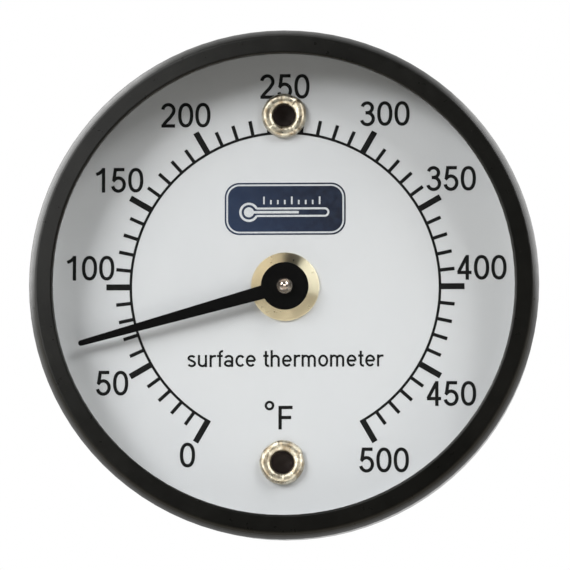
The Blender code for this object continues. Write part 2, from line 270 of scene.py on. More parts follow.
def turned(name, base, stain, rough_low, rough_high, pitch_mm, depth_mm, shine=0.0):
    """Metal turned on a lathe: fine rings, stained clouds and a streaked highlight."""
    t = Tree(name)
    t.colour(t.fade(t.noise(420.0, 4.0, 0.6), 0.38, 0.7, base, stain))
    t.uneven_rough(1700.0, rough_low, rough_high)
    t.bump(t.grooves(pitch_mm, 0.03), depth_mm)
    t.set(Metallic=1.0)
    if shine:
        # the quarter turn lays the highlight along the spokes, as wedges
        t.set(Anisotropic=shine, Anisotropic_Rotation=0.25)
        tangent = t.add("ShaderNodeTangent", direction_type="RADIAL", axis="Y")
        t.join(tangent.outputs["Tangent"], t.shader.inputs["Tangent"])
    return t


# ---------------------------------------------------------------- materials
BLACK = (0.0180, 0.0180, 0.0160)
CAVITY_R = 24.55           # the front cavity's wall lies within this radius
CAVITY_FLOOR = 5.4         # and above this height
BARE_BELOW = 5.0           # that wall is bright up to this y
DARK_ABOVE = 17.0          # and dark from this y, as if shaded by the ring's lip

ring_paint = enamel("ring_enamel", BLACK, 0.27, 0.36, 0.16, 0.003, dust=0.1, round_beyond=20.0)


def shell_paint():
    """Black outside and behind. The front cavity's wall is bare and bright, with painted shade that darkens
    it towards 12 o'clock.
    """
    t = enamel("shell_enamel", BLACK, 0.42, 0.62, 0.22, 0.012, dust=0.4, round_beyond=23.0)
    paint = t.shader.inputs["Base Color"].links[0].from_socket
    gloss = t.shader.inputs["Roughness"].links[0].from_socket
    within = t.math("LESS_THAN", t.radius(), CAVITY_R)
    inside = t.math("MULTIPLY", within, t.math("GREATER_THAN", t.depth(), CAVITY_FLOOR))
    bare = t.mix(t.noise(700.0), (0.74, 0.74, 0.73), (0.58, 0.58, 0.57))
    # painted shade: the bare wall fades to near black towards 12 o'clock, where the ring's lip shades it
    bare = t.fade(t.split()[2], BARE_BELOW * MM, DARK_ABOVE * MM, bare, (0.03, 0.03, 0.03))
    t.colour(t.mix(inside, paint, bare))
    t.rough(t.math("MULTIPLY_ADD", inside, -0.08, gloss))
    t.metal(t.math("MULTIPLY", inside, 0.9))
    return t


shell = shell_paint()


def dial_paint():
    """White enamel on the dial: faint clouds, a few specks and a slight orange peel."""
    t = Tree("dial_enamel")
    tone = t.fade(t.noise(70.0), 0.3, 0.7, (0.705, 0.722, 0.744), (0.727, 0.741, 0.759))
    specks = t.remap(t.noise(2600.0, 1.0), 0.76, 0.80, 0.0, 0.35)
    tone = t.mix(specks, tone, (0.55, 0.56, 0.57))
    t.colour(tone)
    t.uneven_rough(600.0, 0.42, 0.56)
    t.bump(t.noise(3600.0, 2.0), 0.0025)
    return t


dial_white = dial_paint()


def printed(name, base, light, rough=0.5, gloss=0.5):
    """Screen-printed ink, a little uneven in density."""
    t = Tree(name)
    t.colour(t.fade(t.noise(1800.0, 4.0), 0.35, 0.72, base, light))
    t.uneven_rough(2400.0, rough - 0.06, rough + 0.08, 2.0)
    t.bump(t.noise(9000.0, 2.0), 0.002)
    t.set(Specular_IOR_Level=gloss)
    return t


ink = printed("black_ink", (0.0040, 0.0044, 0.0042), (0.008, 0.008, 0.008), 0.5, 0.2)
silver_ink = printed("silver_ink", (0.62, 0.65, 0.68), (0.72, 0.74, 0.76), 0.42)


def badge_ink():
    """Dark blue ink that darkens towards the upper right."""
    t = Tree("badge_ink")
    x, _, z = t.split()
    slant = t.math("ADD", x, t.math("MULTIPLY", z, 0.6))
    tone = t.fade(slant, -2.0 * MM, 10.0 * MM, (0.018, 0.034, 0.080), (0.007, 0.011, 0.026))
    t.colour(t.mix(t.remap(t.noise(1500.0, 3.0), 0.4, 0.7, 0.0, 0.3), tone, (0.03, 0.05, 0.10)))
    t.uneven_rough(2400.0, 0.36, 0.5, 2.0)
    t.bump(t.noise(9000.0, 2.0), 0.002)
    return t


badge_blue = badge_ink()
pointer_black = enamel("pointer_enamel", (0.0011, 0.0011, 0.0011), 0.5, 0.62, 0.12, 0.002)
pointer_black.set(Specular_IOR_Level=0.08)
flange_brass = turned(
    "flange_brass", (0.80, 0.72, 0.53), (0.72, 0.64, 0.46), 0.27, 0.31, 0.055, 0.0002, shine=0.95
)
works_brass = turned("works_brass", (0.76, 0.60, 0.30), (0.60, 0.45, 0.22), 0.25, 0.42, 0.09, 0.002)
pin_steel = turned("pin_steel", (0.44, 0.40, 0.34), (0.34, 0.28, 0.24), 0.20, 0.25, 0.08, 0.0001)


def nickel():
    """Champagne nickel that has been crimped: bright metal with brown stains."""
    t = Tree("rivet_nickel")
    t.colour(t.fade(t.noise(1300.0, 5.0, 0.62), 0.42, 0.62, (0.80, 0.76, 0.65), (0.40, 0.33, 0.24)))
    t.uneven_rough(2400.0, 0.24, 0.46)
    t.bump(t.noise(3600.0, 3.0, 0.6), 0.014)
    t.set(Metallic=1.0)
    return t


rivet_nickel = nickel()


def bore_soot():
    """Painted shade: the inside of a rivet's bore, coloured dark brown as the deep hole looks in shade."""
    t = Tree("bore_soot")
    t.colour(t.mix(t.noise(1500.0), (0.024, 0.014, 0.014), (0.036, 0.023, 0.021)))
    t.uneven_rough(1500.0, 0.6, 0.85)
    t.bump(t.noise(2600.0, 3.0), 0.01)
    return t


bore_dark = bore_soot()
cup_steel = plated("cup_nickel", (0.62, 0.61, 0.59), (0.46, 0.44, 0.41), 0.24, 0.38, 1800.0, 0.005)
anchor_zinc = plated("anchor_zinc", (0.60, 0.60, 0.58), (0.44, 0.43, 0.38), 0.3, 0.46, 2400.0, 0.006)


def ferrite():
    """Ground ceramic magnet: dark grey, straight grinding marks and small chips."""
    t = Tree("ferrite")
    marks = t.noise(420.0, 3.0, 0.6, stretch=(1.0, 1.0, 16.0))
    tone = t.fade(marks, 0.35, 0.65, (0.045, 0.045, 0.048), (0.105, 0.105, 0.11))
    chips = t.remap(t.noise(1500.0, 2.0), 0.70, 0.74, 0.0, 0.6)
    t.colour(t.mix(chips, tone, (0.02, 0.02, 0.022)))
    t.uneven_rough(1100.0, 0.42, 0.66)
    t.bump(marks, 0.006)
    t.bump(chips, -0.02)
    return t


magnet_grey = ferrite()


def strip(name, base, stain, tint):
    """One face of the rolled bimetal strip, with rolling lines and a faint heat tint."""
    t = Tree(name)
    lines = t.noise(300.0, 4.0, 0.7, stretch=(1.0, 22.0, 1.0))
    tone = t.fade(lines, 0.3, 0.7, base, stain)
    heat = t.remap(t.noise(190.0, 2.0), 0.5, 0.75, 0.0, 0.5)
    t.colour(t.mix(heat, tone, tint))
    t.uneven_rough(900.0, 0.2, 0.36)
    t.bump(lines, 0.003)
    t.set(Metallic=1.0)
    return t


strip_copper = strip("strip_copper", (0.72, 0.47, 0.31), (0.60, 0.38, 0.25), (0.50, 0.33, 0.36))
strip_steel = strip("strip_steel", (0.64, 0.62, 0.58), (0.50, 0.48, 0.45), (0.62, 0.52, 0.36))


def rubber():
    """Matt black gasket rubber."""
    t = Tree("gasket_rubber")
    t.colour(t.mix(t.noise(900.0), (0.022, 0.022, 0.022), (0.045, 0.044, 0.042)))
    t.uneven_rough(1300.0, 0.6, 0.8)
    t.bump(t.noise(3200.0, 3.0), 0.006)
    return t


gasket_black = rubber()


def clear_glass():
    """A thin flat pane: light goes straight through, and it mirrors more at a slant, by Schlick's rule."""
    t = Tree("clear_glass")
    slant = t.add("ShaderNodeLayerWeight")
    slant.inputs["Blend"].default_value = 0.5
    share = t.math("POWER", slant.outputs["Facing"], 5.0)
    share = t.math("MULTIPLY_ADD", share, 0.96, 0.04)
    t.colour(t.mix(t.noise(120.0), (0.95, 0.96, 0.96), (0.98, 0.98, 0.98)))
    t.uneven_rough(260.0, 0.0, 0.02)
    t.set(Metallic=1.0)
    clear = t.add("ShaderNodeBsdfTransparent")
    clear.inputs["Color"].default_value = (0.988, 0.990, 0.988, 1.0)
    both = t.add("ShaderNodeMixShader")
    t.join(share, both.inputs[0])
    t.join(clear.outputs[0], both.inputs[1])
    t.join(t.shader.outputs[0], both.inputs[2])
    t.join(both.outputs[0], t.nodes["Material Output"].inputs["Surface"])
    return t


window_glass = clear_glass()


MATERIAL_OF = {
    "bezel": ring_paint,
    "case": shell,
    "lens": window_glass,
    "lens_gasket": gasket_black,
    "dial_plate": dial_white,
    "bushing": flange_brass,
    "bushing_nut": works_brass,
    "arbor": pin_steel,
    "pointer_hub": works_brass,
    "pointer": pointer_black,
    "coil_collet": works_brass,
    "coil_anchor": anchor_zinc,
    "anchor_rivet": anchor_zinc,
    "magnet_cup_upper": cup_steel,
    "magnet_cup_lower": cup_steel,
    "magnet_upper": magnet_grey,
    "magnet_lower": magnet_grey,
}
for node, tree in MATERIAL_OF.items():
    for slot in nodes[node].material_slots:
        slot.material = tree.mat

# ---------------------------------------------------------------- mesh helpers
SAME_POINT = 1e-6          # ends nearer than this close a line
CDT_MERGE = 1e-5           # points nearer than this are one in a triangulation


def new_piece(name, verts, faces, trees, body, smooth=False, face_trees=None):
    """A piece made in face coordinates, that rides on a body."""
    mesh = bpy.data.meshes.new(name)
    mesh.from_pydata([place(*v) for v in verts], [], faces)
    for tree in trees:
        mesh.materials.append(tree.mat)
    for k, polygon in enumerate(mesh.polygons):
        polygon.use_smooth = smooth
        if face_trees:
            polygon.material_index = face_trees[k]
    mesh.update()
    obj = bpy.data.objects.new(name, mesh)
    bpy.context.scene.collection.objects.link(obj)
    if body:
        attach(obj, body)
    return obj


def oval(cx, cy, rx, ry, start, end, steps=20, power=2.0):
    """Points along an oval from start to end in degrees; power above 2 squares its shoulders."""
    points = []
    for k in range(steps + 1):
        a = math.radians(start + (end - start) * k / steps)
        c, s = math.cos(a), math.sin(a)
        points.append((
            cx + rx * math.copysign(abs(c) ** (2 / power), c),
            cy + ry * math.copysign(abs(s) ** (2 / power), s),
        ))
    return points


SHARPEST = 0.35            # cosine of half the sharpest turn that is mitred in full


def stroke(points, width):
    """Quads that cover a line of the given width, with square ends and mitred turns."""
    closed = (Vector(points[0]) - Vector(points[-1])).length < SAME_POINT
    line = [Vector(p) for p in (points[:-1] if closed else points)]
    count = len(line)
    sides = []
    for k, point in enumerate(line):
        directions = []
        if closed or k > 0:
            directions.append((point - line[k - 1]).normalized())
        if closed or k < count - 1:
            directions.append((line[(k + 1) % count] - point).normalized())
        along = sum(directions, Vector((0, 0))).normalized()
        normal = Vector((-along.y, along.x))
        reach = width / 2 / max(SHARPEST, along.dot(directions[0]))
        sides.append((point + normal * reach, point - normal * reach))
    quads = []
    for k in range(count if closed else count - 1):
        a, b = sides[k], sides[(k + 1) % count]
        quads.append([tuple(a[1]), tuple(b[1]), tuple(b[0]), tuple(a[0])])
    return quads


def area_of(poly):
    """Area of a polygon, positive when it runs counter-clockwise."""
    return sum(a[0] * b[1] - b[0] * a[1] for a, b in zip(poly, poly[1:] + poly[:1])) / 2


def union(polys):
    """One triangulation of everything that the polygons cover."""
    points = []
    faces = []
    for poly in polys:
        if area_of(poly) < 0:
            poly = poly[::-1]
        faces.append(list(range(len(points), len(points) + len(poly))))
        points.extend(Vector(p) for p in poly)
    verts, _, pieces, _, _, inside = delaunay_2d_cdt(points, [], faces, 1, CDT_MERGE)
    return [tuple(p) for p in verts], [list(f) for f, owners in zip(pieces, inside) if owners]


def film(name, polys, tree, low, high):
    """A thin printed layer between two heights."""
    points, faces = union(polys)
    used = sorted({i for f in faces for i in f})
    index = {old: new for new, old in enumerate(used)}
    faces = [[index[i] for i in f] for f in faces]
    points = [points[i] for i in used]
    faces = [f if area_of([points[i] for i in f]) > 0 else f[::-1] for f in faces]
    count = len(points)
    verts = [(x, y, high) for x, y in points] + [(x, y, low) for x, y in points]
    edges = {}                 # a dict and not a set, because it keeps their order
    for f in faces:
        for a, b in zip(f, f[1:] + f[:1]):
            edges[(a, b)] = True
    walls = [[a, a + count, b + count, b] for a, b in edges if (b, a) not in edges]
    body = faces + [[i + count for i in reversed(f)] for f in faces] + walls
    return new_piece(name, verts, body, [tree], "housing")


# ---------------------------------------------------------------- lettering, drawn as strokes
# strokes are given in shares of the height of a figure, or of the ascender of a small letter
STROKE = 0.136
HALF = STROKE / 2
FIGURES = {
    "0": [oval(0.307, 0.5, 0.240, 0.5 - HALF, 0, 360, 48, 2.25)],
    "1": [
        [(0.395, 0.0), (0.395, 1.0)],
        [(0.40, 0.965), (0.33, 0.865), (0.22, 0.785), (0.10, 0.735)],
    ],
    "2": [
        oval(0.300, 0.70, 0.225, 0.30 - HALF, 172, -38, 26)
        + [(0.385, 0.42), (0.22, 0.25), (0.135, 0.15), (0.11, 0.09)],
        [(0.020, HALF), (0.575, HALF)],
    ],
    "3": [
        oval(0.295, 0.735, 0.205, 0.265 - HALF, 165, -78, 26) + [(0.225, 0.535)],
        [(0.225, 0.535)] + oval(0.300, 0.295, 0.238, 0.24, 88, -165, 30),
    ],
    "4": [
        [(0.425, 0.0), (0.425, 1.0)],
        [(0.440, 0.945), (0.385, 0.895), (0.07, 0.30)],
        [(0.03, 0.295), (0.600, 0.295)],
    ],
    "5": [
        [(0.112, 1 - HALF), (0.545, 1 - HALF)],
        [(0.180, 0.955), (0.118, 0.50)],
        [(0.078, 0.455)] + oval(0.300, 0.325, 0.238, 0.325 - HALF + 0.01, 142, -166, 34),
    ],
    "F": [
        [(0.065, 0.0), (0.065, 1.0)],
        [(0.065, 1 - HALF), (0.60, 1 - HALF)],
        [(0.065, 0.505), (0.545, 0.505)],
    ],
}
FIGURE_STEP = 0.697
FIGURE_WIDTH = 0.614

LOW = 0.725                # height of the small letters without ascenders
THIN = 0.067               # half their stroke
SPACE = 0.32
# each small letter's width and strokes
SMALL = {
    "o": (0.56, [oval(0.27, LOW / 2, 0.212, LOW / 2 - THIN, 0, 360, 32)]),
    "c": (0.50, [oval(0.27, LOW / 2, 0.212, LOW / 2 - THIN, 40, 318, 28)]),
    "e": (0.56, [
        [(0.07, LOW / 2), (0.482, LOW / 2)],
        oval(0.27, LOW / 2, 0.212, LOW / 2 - THIN, 0, 318, 30),
    ]),
    "a": (0.56, [
        oval(0.262, 0.50, 0.185, LOW - 0.50 - THIN, 165, 0, 14) + [(0.447, 0.0)],
        oval(0.250, 0.205, 0.190, 0.147, 0, 360, 26),
    ]),
    "s": (0.50, [
        oval(0.240, 0.535, 0.165, LOW - 0.535 - THIN, 20, 235, 16)
        + oval(0.240, 0.205, 0.178, 0.147, 62, -160, 18),
    ]),
    "u": (0.57, [
        [(0.075, LOW)] + oval(0.262, 0.25, 0.187, 0.192, 180, 350, 14),
        [(0.452, LOW), (0.452, 0.0)],
    ]),
    "r": (0.36, [
        [(0.075, LOW), (0.075, 0.0)],
        oval(0.290, 0.46, 0.215, LOW - 0.46 - THIN, 172, 68, 10),
    ]),
    "f": (0.31, [
        [(0.155, 0.0), (0.155, 0.82)] + oval(0.290, 0.82, 0.135, 0.125, 168, 74, 8),
        [(0.0, LOW - THIN), (0.305, LOW - THIN)],
    ]),
    "t": (0.32, [
        [(0.145, 0.95), (0.145, 0.19)] + oval(0.270, 0.19, 0.125, 0.132, 192, 292, 8),
        [(0.0, LOW - THIN), (0.290, LOW - THIN)],
    ]),
    "h": (0.57, [
        [(0.075, 1.0), (0.075, 0.0)],
        oval(0.263, 0.46, 0.188, LOW - 0.46 - THIN, 180, 0, 16) + [(0.451, 0.0)],
    ]),
    "m": (0.85, [
        [(0.075, LOW), (0.075, 0.0)],
        oval(0.238, 0.48, 0.163, LOW - 0.48 - THIN, 180, 0, 14) + [(0.401, 0.0)],
        oval(0.564, 0.48, 0.163, LOW - 0.48 - THIN, 180, 0, 14) + [(0.727, 0.0)],
    ]),
}


def lay(strokes, width, origin, size, squeeze=1.0):
    """Quads of strokes given in shares of size, from origin."""
    quads = []
    for line in strokes:
        points = [(origin[0] + x * size * squeeze, origin[1] + y * size) for x, y in line]
        quads += stroke(points, width * size)
    return quads


def figures(text, centre, size):
    """A number centred on a point."""
    width = FIGURE_STEP * (len(text) - 1) + FIGURE_WIDTH
    left = centre[0] - width * size / 2
    quads = []
    for k, digit in enumerate(text):
        quads += lay(FIGURES[digit], STROKE, (left + k * FIGURE_STEP * size, centre[1] - size / 2), size)
    return quads


def words(text, centre, size, gap, stretch):
    """A line of small letters centred on a point, standing on its y."""
    steps = [SPACE if c == " " else SMALL[c][0] + gap for c in text]
    left = centre[0] - (sum(steps) - gap) * size * stretch / 2
    quads = []
    for letter, step in zip(text, steps):
        if letter != " ":
            quads += lay(SMALL[letter][1], 2 * THIN, (left, centre[1]), size, stretch)
        left += step * size * stretch
    return quads


# ---------------------------------------------------------------- the printed scale
SCALE_R = 15.97
SCALE_LINE = 0.27
MINOR = (1.60, 0.36)       # length and width of a tick
MAJOR = (2.53, 0.62)
LINE_OVER_DEG = 0.6        # how far the scale's line runs past its end ticks
ZERO_DEG = 240.0           # direction of 0, counter-clockwise from +x
SWEEP_DEG = 300.0          # from 0 clockwise to the top reading
TOP_READING = 500
MINOR_STEP = 10
MAJOR_STEP = 50
FIGURE_H = 2.56            # height of the numbers

ink_low = DIAL_Z + INK_GAP
ink_high = ink_low + INK_T


def reading_deg(reading):
    """Direction in which a temperature stands on the dial."""
    return ZERO_DEG - SWEEP_DEG * reading / TOP_READING


def tick(reading, length, width):
    """A mark that runs outward from the scale's line."""
    a = math.radians(reading_deg(reading))
    out = Vector((math.cos(a), math.sin(a)))
    start = out * (SCALE_R - SCALE_LINE / 2)
    return stroke([tuple(start), tuple(out * (SCALE_R + length))], width)


line_from = ZERO_DEG + LINE_OVER_DEG
line_to = ZERO_DEG - SWEEP_DEG - LINE_OVER_DEG
scale = stroke(oval(0, 0, SCALE_R, SCALE_R, line_from, line_to, 200), SCALE_LINE)
for reading in range(0, TOP_READING + 1, MINOR_STEP):
    if reading == TOP_READING / 2:     # the upper rivet stands there
        continue
    scale += tick(reading, *(MINOR if reading % MAJOR_STEP else MAJOR))
film("scale_print", scale, ink, ink_low, ink_high)

# the middle of each number, right of the dial's centre and above it
NUMBERS = {
    0: (-10.08, -17.35),
    50: (-17.89, -9.91),
    100: (-20.25, 2.00),
    150: (-17.26, 11.12),
    200: (-10.31, 17.85),
    250: (-0.05, 20.79),
    300: (10.30, 17.92),
    350: (17.13, 11.16),
    400: (20.26, 1.94),
    450: (17.10, -11.07),
    500: (10.17, -17.90),
}
numbers = []
for reading, centre in NUMBERS.items():
    numbers += figures(str(reading), centre, FIGURE_H)
film("number_print", numbers, ink, ink_low, ink_high)

UNIT_AT = (-0.68, -14.74)  # lower left corner of the F
UNIT_H = 2.44
UNIT_STROKE = 0.140
UNIT_STRETCH = 0.98
DEGREE_AT = (-1.62, -12.27)
DEGREE_R = 0.37
DEGREE_LINE = 0.26

unit = lay(FIGURES["F"], UNIT_STROKE, UNIT_AT, UNIT_H, UNIT_STRETCH)
unit += stroke(oval(*DEGREE_AT, DEGREE_R, DEGREE_R, 0, 360, 28), DEGREE_LINE)
film("unit_print", unit, ink, ink_low, ink_high)

LABEL_AT = (0.0, -8.27)    # middle of the words' foot line
LABEL_H = 1.72
LABEL_GAP = 0.062
LABEL_STRETCH = 1.11

label = words("surface thermometer", LABEL_AT, LABEL_H, LABEL_GAP, LABEL_STRETCH)
film("label_print", label, ink, ink_low, ink_high)

# ---------------------------------------------------------------- a plain badge in place of the maker's
BADGE = (0.0, 8.08)
BADGE_SIZE = (12.5, 5.4)
BADGE_CORNER = 1.5
RIM_INSET = 0.25           # from the badge's edge to the middle of its silver rim
RIM_CORNER = 1.28
RIM_LINE = 0.17
STEM_Y = BADGE[1] - 0.35   # middle line of the thermometer sign
STEM_HALF = 0.385
STEM_END = BADGE[0] + 4.08
STEM_LINE = 0.2
BULB = (BADGE[0] - 3.75, STEM_Y)
BULB_R = 0.88
BULB_LINE = 0.24
BULB_GAP = 26              # half the angle at which the bulb opens into the stem, in degrees
DROP_R = 0.52              # the filled part of the bulb
COLUMN_END = BADGE[0] + 1.4
COLUMN_LINE = 0.26
MARK_FIRST = BADGE[0] - 2.2
MARK_STEP = 0.72
MARK_COUNT = 9
MARK_LINE = 0.17
MARK_FOOT = STEM_Y + 0.82
MARK_LONG = STEM_Y + 1.62  # every fourth mark reaches here
MARK_SHORT = STEM_Y + 1.27


def pill(centre, width, height, corner, steps=10):
    """A rectangle with round corners."""
    points = []
    for cx, cy, start in ((1, 1, 0), (-1, 1, 90), (-1, -1, 180), (1, -1, 270)):
        middle = (centre[0] + cx * (width / 2 - corner), centre[1] + cy * (height / 2 - corner))
        points += oval(*middle, corner, corner, start, start + 90, steps)
    return points


film("badge_print", [pill(BADGE, *BADGE_SIZE, BADGE_CORNER)], badge_blue, ink_low, ink_high)
rim = pill(BADGE, BADGE_SIZE[0] - 2 * RIM_INSET, BADGE_SIZE[1] - 2 * RIM_INSET, RIM_CORNER)
sign = stroke(rim + rim[:1], RIM_LINE)
sign += stroke(oval(*BULB, BULB_R, BULB_R, BULB_GAP, 360 - BULB_GAP, 30), BULB_LINE)
for side in (1, -1):
    edge_y = STEM_Y + side * STEM_HALF
    sign += stroke([(BULB[0] + 0.78, edge_y), (STEM_END + 0.02, edge_y)], STEM_LINE)
sign += stroke(oval(STEM_END, STEM_Y, STEM_HALF, STEM_HALF, 92, -92, 12), STEM_LINE)
sign += [oval(*BULB, DROP_R, DROP_R, 0, 345, 23)]
sign += stroke([(BULB[0] + 0.2, STEM_Y), (COLUMN_END, STEM_Y)], COLUMN_LINE)
for k in range(MARK_COUNT):
    x = MARK_FIRST + k * MARK_STEP
    sign += stroke([(x, MARK_FOOT), (x, MARK_SHORT if k % 4 else MARK_LONG)], MARK_LINE)
sign_low = ink_high + SIGN_GAP
film("badge_sign_print", sign, silver_ink, sign_low, sign_low + INK_T)

# ---------------------------------------------------------------- crimped rivets
ROLL_R = 2.29              # outer radius of the rolled end on the dial
BORE_R = 1.14
SHANK_R = 1.5
HEAD_R = 2.4               # of the factory head behind
HEAD_T = 0.7
BORE_FLOOR = 1.6           # above the rear face
AROUND = 160
CROWN_STEPS = 14


def bumps(seed, count, width_deg, low, high):
    """A smooth closed curve of random bumps around a circle."""
    rng = random.Random(seed)
    items = []
    for _ in range(count):
        items.append((rng.uniform(0, 360), rng.uniform(0.6, 1.5) * width_deg, rng.uniform(low, high)))

    def value(deg):
        total = 0.0
        for centre, width, height in items:
            away = (deg - centre + 180) % 360 - 180
            total += height * math.exp(-((away / width) ** 2))
        return total

    return value


def level(value):
    """The same radius or height all the way round."""
    return lambda deg: value


def bore_rows(rear, seat, lip):
    """Radius and height round the bore, from its floor up to the roll."""
    shape = (
        (0.6, rear + BORE_FLOOR + 0.02),
        (0.95, rear + BORE_FLOOR + 0.15),
        (BORE_R, rear + BORE_FLOOR + 0.4),
        (BORE_R, seat - 0.5),
    )
    rows = [(level(r), level(z)) for r, z in shape]
    rows.append((lambda deg: BORE_R + 0.2 * lip(deg), level(seat + 0.02)))
    return rows


def crown_row(share, seat, top, lip, swell, sag, folds, lean):
    """One line round the rolled end: share 0 is at the bore's lip and 1 at the outer edge."""
    a = math.pi * (1 - share)

    def radius(deg):
        inner = BORE_R + 0.03 + lip(deg) * (1 - share)
        outer = ROLL_R + 0.02 + swell(deg)
        middle = (inner + outer) / 2
        half = (outer - inner) / 2
        return middle + half * math.cos(a) + lean(deg) * math.sin(a) * 0.6

    def height(deg):
        rise = (top - seat - 0.18) * (1 + sag(deg) + folds(deg) * (0.35 + 0.65 * share))
        start = seat + 0.16 + 0.10 * (1 - share)
        lipped = 0.05 * math.exp(-(((share - 0.12) / 0.07) ** 2))
        return min(top, start + rise * max(0.0, math.sin(a)) ** 0.8 + lipped)

    return radius, height


def back_rows(rear, seat):
    """Radius and height down the shank and round the factory head."""
    shape = (
        (SHANK_R, seat),
        (SHANK_R, rear + HEAD_T),
        (HEAD_R - 0.08, rear + HEAD_T),
        (HEAD_R, rear + 0.62),
        (HEAD_R, rear + 0.42),
        (HEAD_R - 0.35, rear + 0.14),
        (HEAD_R - 1.1, rear),
    )
    return [(level(r), level(z)) for r, z in shape]


def rolled_rivet(name, node, seed):
    """A hollow rivet: a plain head behind, and a front end rolled out unevenly on the dial."""
    low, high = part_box(node)
    cx = (low.x + high.x) / 2 / MM
    cy = (low.z + high.z) / 2 / MM
    rear = face_low(node)
    seat = DIAL_Z + 0.005
    top = face_high(node) - 0.02
    swell = bumps(seed, 9, 16, -0.07, 0.05)
    sag = bumps(seed + 1, 7, 20, -0.13, 0.04)
    folds = bumps(seed + 2, 8, 3.2, -0.20, -0.06)
    lean = bumps(seed + 3, 6, 24, -0.10, 0.10)
    lip = bumps(seed + 4, 6, 30, -0.05, 0.05)

    rows = bore_rows(rear, seat, lip)
    bore_count = len(rows)
    for k in range(CROWN_STEPS + 1):
        rows.append(crown_row(k / CROWN_STEPS, seat, top, lip, swell, sag, folds, lean))
    rows.append((lambda deg: ROLL_R - 0.10 + swell(deg), level(seat)))
    rows += back_rows(rear, seat)

    verts = [(cx, cy, rear + BORE_FLOOR)]
    for radius, height in rows:
        for k in range(AROUND):
            deg = 360 * k / AROUND
            a = math.radians(deg)
            r = radius(deg)
            verts.append((cx + r * math.cos(a), cy + r * math.sin(a), height(deg)))
    last = len(verts)
    verts.append((cx, cy, rear))

    faces = [[0, 1 + k, 1 + (k + 1) % AROUND] for k in range(AROUND)]
    for j in range(len(rows) - 1):
        a = 1 + j * AROUND
        b = a + AROUND
        for k in range(AROUND):
            after = (k + 1) % AROUND
            faces.append([a + k, b + k, b + after, a + after])
    last_ring = last - AROUND
    faces += [[last, last_ring + (k + 1) % AROUND, last_ring + k] for k in range(AROUND)]
    in_bore = bore_count * AROUND
    # the faces inside the bore take the painted shade
    kinds = [1] * in_bore + [0] * (len(faces) - in_bore)
    piece = new_piece(name, verts, faces, [rivet_nickel, bore_dark], "housing", True, kinds)
    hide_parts(node)
    return piece


rolled = [
    rolled_rivet("rivet_upper_rolled", "rivet_upper", 11),
    rolled_rivet("rivet_lower_rolled", "rivet_lower", 47),
]

# ---------------------------------------------------------------- the bimetal coil
COIL_TURNS = 5
COIL_T = 0.3
COIL_EDGE = 0.05           # of the strip's rounded edges
COIL_IN_R = 2.08
COIL_OUT_R = 9.5
ANCHOR_DEG = 20.0          # where the outer end is held
COIL_LOW = face_low("bimetal_coil")
COIL_HIGH = face_high("bimetal_coil")
COIL_STEPS = 90       # points in each turn


def strip_section():
    """Points round the strip, as offset and height, and the material of each side between them."""
    half = COIL_T / 2 - 0.005
    inset = half - COIL_EDGE
    section = [
        (half, COIL_LOW + COIL_EDGE),
        (half, COIL_HIGH - COIL_EDGE),
        (inset, COIL_HIGH),
        (0.0, COIL_HIGH),
        (-inset, COIL_HIGH),
        (-half, COIL_HIGH - COIL_EDGE),
        (-half, COIL_LOW + COIL_EDGE),
        (-inset, COIL_LOW),
        (0.0, COIL_LOW),
        (inset, COIL_LOW),
    ]
    return section, [0, 0, 0, 1, 1, 1, 1, 1, 0, 0]


def coil():
    """The strip: an outer steel layer and an inner copper-coloured one, with rounded edges."""
    section, side = strip_section()
    count = len(section)
    total = COIL_TURNS * COIL_STEPS
    verts = []
    lengths = [0.0]            # along the strip from its inner end
    last = None
    for k in range(total + 1):
        turns = k / COIL_STEPS
        radius = COIL_IN_R + (COIL_OUT_R - COIL_IN_R) * turns / COIL_TURNS
        a = math.radians(ANCHOR_DEG + 360 * (turns - COIL_TURNS))
        centre = Vector((radius * math.cos(a), radius * math.sin(a)))
        if last is not None:
            lengths.append(lengths[-1] + (centre - last).length)
        last = centre
        for offset, z in section:
            verts.append(((radius + offset) * math.cos(a), (radius + offset) * math.sin(a), z))
    faces = []
    kinds = []
    for k in range(total):
        for j in range(count):
            after = (j + 1) % count
            faces.append([k * count + j, (k + 1) * count + j, (k + 1) * count + after, k * count + after])
            kinds.append(side[j])
    faces.append(list(range(count)))
    faces.append([total * count + j for j in reversed(range(count))])
    kinds += [0, 0]
    trees = [strip_steel, strip_copper]
    piece = new_piece("bimetal_strip", verts, faces, trees, None, True, kinds)
    for polygon in list(piece.data.polygons)[-2:]:
        polygon.use_smooth = False
    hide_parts("bimetal_coil")
    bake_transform(piece)
    # a weight for each point, falling evenly along the strip from its inner end, as the coil winds evenly;
    # nothing uses them
    weights = []
    for done in lengths:
        weights += [1.0 - done / lengths[-1]] * count


coil()

# ---------------------------------------------------------------- floor and light
FLOOR_HALF = 6.0           # metres, here and below
FLOOR_Z = -0.075
SUN_STRENGTH = 3.3
SUN_SPREAD_DEG = 70


def stage_floor():
    """A pale floor that throws nothing back on the object."""
    t = Tree("pale_floor")
    t.colour(t.mix(t.noise(6.0), (0.80, 0.80, 0.80), (0.86, 0.86, 0.86)))
    t.uneven_rough(40.0, 0.6, 0.75)
    corners = [(x * FLOOR_HALF, y * FLOOR_HALF, FLOOR_Z) for x, y in ((-1, -1), (1, -1), (1, 1), (-1, 1))]
    mesh = bpy.data.meshes.new("floor")
    mesh.from_pydata(corners, [], [(0, 1, 2, 3)])
    mesh.materials.append(t.mat)
    floor = bpy.data.objects.new("floor", mesh)
    bpy.context.scene.collection.objects.link(floor)
    floor.visible_glossy = False
    floor.visible_diffuse = False
    return floor


def light_group(name, pieces, state="INCLUDE"):
    """The pieces that a light reaches, or with EXCLUDE the only ones that it doesn't."""
    group = bpy.data.collections.new(name)
    for piece in pieces:
        group.objects.link(piece)
    for member in group.collection_objects:
        member.light_linking.link_state = state
    return group


